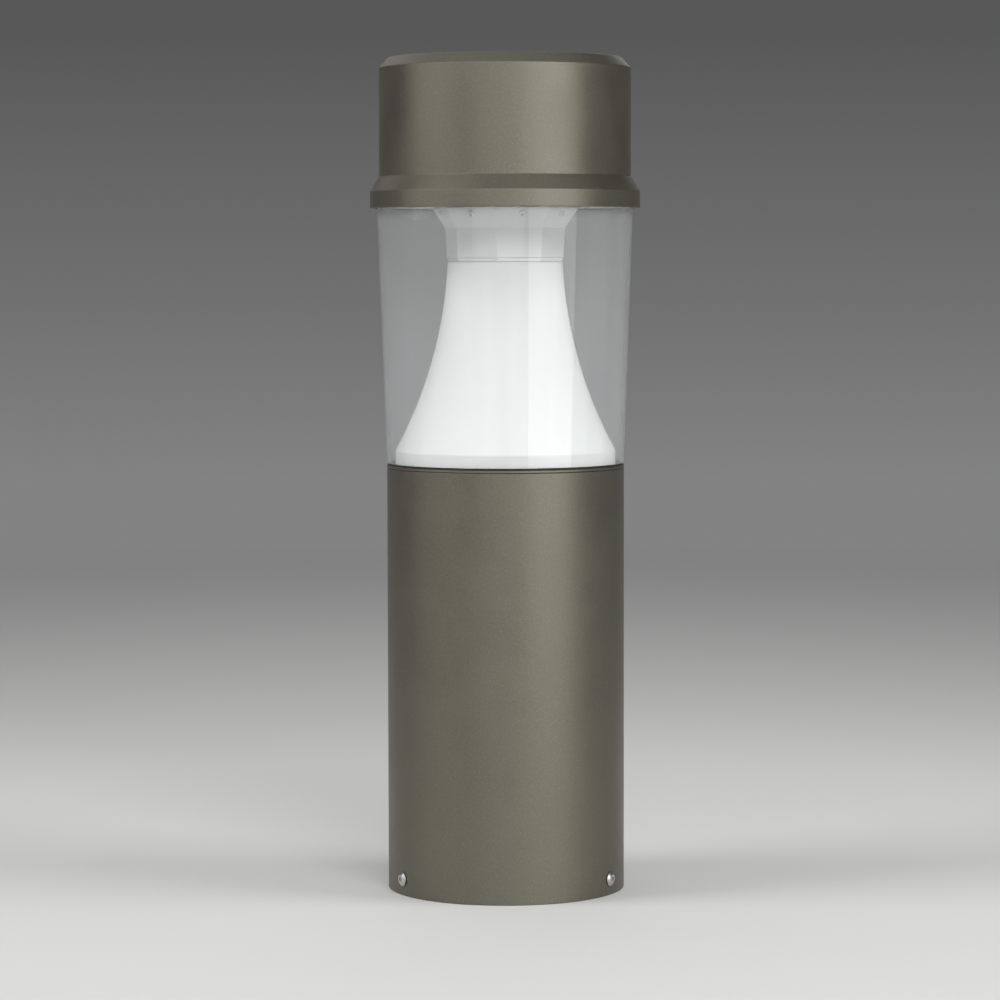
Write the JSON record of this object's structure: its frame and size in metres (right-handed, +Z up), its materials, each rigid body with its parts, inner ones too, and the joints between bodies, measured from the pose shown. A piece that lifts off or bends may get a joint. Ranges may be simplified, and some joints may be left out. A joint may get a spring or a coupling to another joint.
{
  "type": "bollard light",
  "caption": "Round bronze bollard light: plain column, white trumpet reflector under a clear tapered lens, and a flat-topped head.",
  "frame": {"origin": "on the column's axis at ground level, the underside of the anchor base and column", "axes": "+Z up along the column, -Y the front, +X to the right seen from the front"},
  "size_m": [0.2306, 0.2306, 0.7112],
  "materials": {
    "bronze_paint": "satin metallic bronze powder coat",
    "white_paint": "satin white powder coat",
    "clear_lens": "clear polished acrylic",
    "cast_aluminium": "as cast",
    "plate_aluminium": "mill finish",
    "stainless_steel": "plain stainless",
    "black_rubber": "moulded silicone",
    "board_white": "white solder mask",
    "driver_case": "pale grey enamel",
    "terminal_plastic": "moulded nylon",
    "black_plastic": "moulded nylon",
    "black_cable": "extruded sheath",
    "red_cable": "extruded sheath",
    "green_cable": "extruded sheath"
  },
  "bodies": {
    "column": {"anchor_base": "cast_aluminium", "base_screw_1": "stainless_steel", "base_screw_2": "stainless_steel", "base_screw_3": "stainless_steel", "column_tube": "bronze_paint", "deck_plate": "plate_aluminium", "deck_screw_1": "stainless_steel", "deck_screw_2": "stainless_steel", "deck_screw_3": "stainless_steel", "collar_ring": "bronze_paint", "lens_base_gasket": "black_rubber", "reflector": "white_paint", "can_plate": "white_paint", "can_housing": "white_paint", "can_screw_1": "white_paint", "can_screw_2": "white_paint", "can_screw_3": "white_paint", "can_screw_4": "white_paint", "can_screw_5": "white_paint", "can_screw_6": "white_paint", "can_screw_7": "white_paint", "can_screw_8": "white_paint", "tie_rod_1": "stainless_steel", "tie_rod_2": "stainless_steel", "tie_rod_3": "stainless_steel", "rod_nut_lower_1": "stainless_steel", "rod_nut_lower_2": "stainless_steel", "rod_nut_lower_3": "stainless_steel", "rod_nut_upper_1": "stainless_steel", "rod_nut_upper_2": "stainless_steel", "rod_nut_upper_3": "stainless_steel", "led_plate": "plate_aluminium", "led_board": "board_white", "standoff_1": "stainless_steel", "standoff_2": "stainless_steel", "standoff_3": "stainless_steel", "driver": "driver_case", "driver_screw_1": "stainless_steel", "driver_screw_2": "stainless_steel", "terminal_block": "terminal_plastic", "plate_bushing": "black_rubber", "supply_inlet": "black_plastic", "supply_lead": "black_cable", "driver_lead": "black_cable", "led_lead": "red_cable", "ground_lead": "green_cable", "ground_screw": "stainless_steel"},
    "lens_unit": {"lens": "clear_lens"},
    "head": {"head_cap": "bronze_paint", "trim_ring": "white_paint", "cap_gasket": "black_rubber", "cap_screw_1": "stainless_steel", "cap_screw_2": "stainless_steel", "cap_screw_3": "stainless_steel", "cap_screw_seal_1": "black_rubber", "cap_screw_seal_2": "black_rubber", "cap_screw_seal_3": "black_rubber"}
  },
  "joints": [
    {"name": "lens_lift", "type": "slide", "parent": "column", "child": "lens_unit", "axis": [0, 0, 1], "range_m": [0, 0.34]},
    {"name": "head_lift", "type": "slide", "parent": "lens_unit", "child": "head", "axis": [0, 0, 1], "range_m": [0, 0.135]}
  ]
}
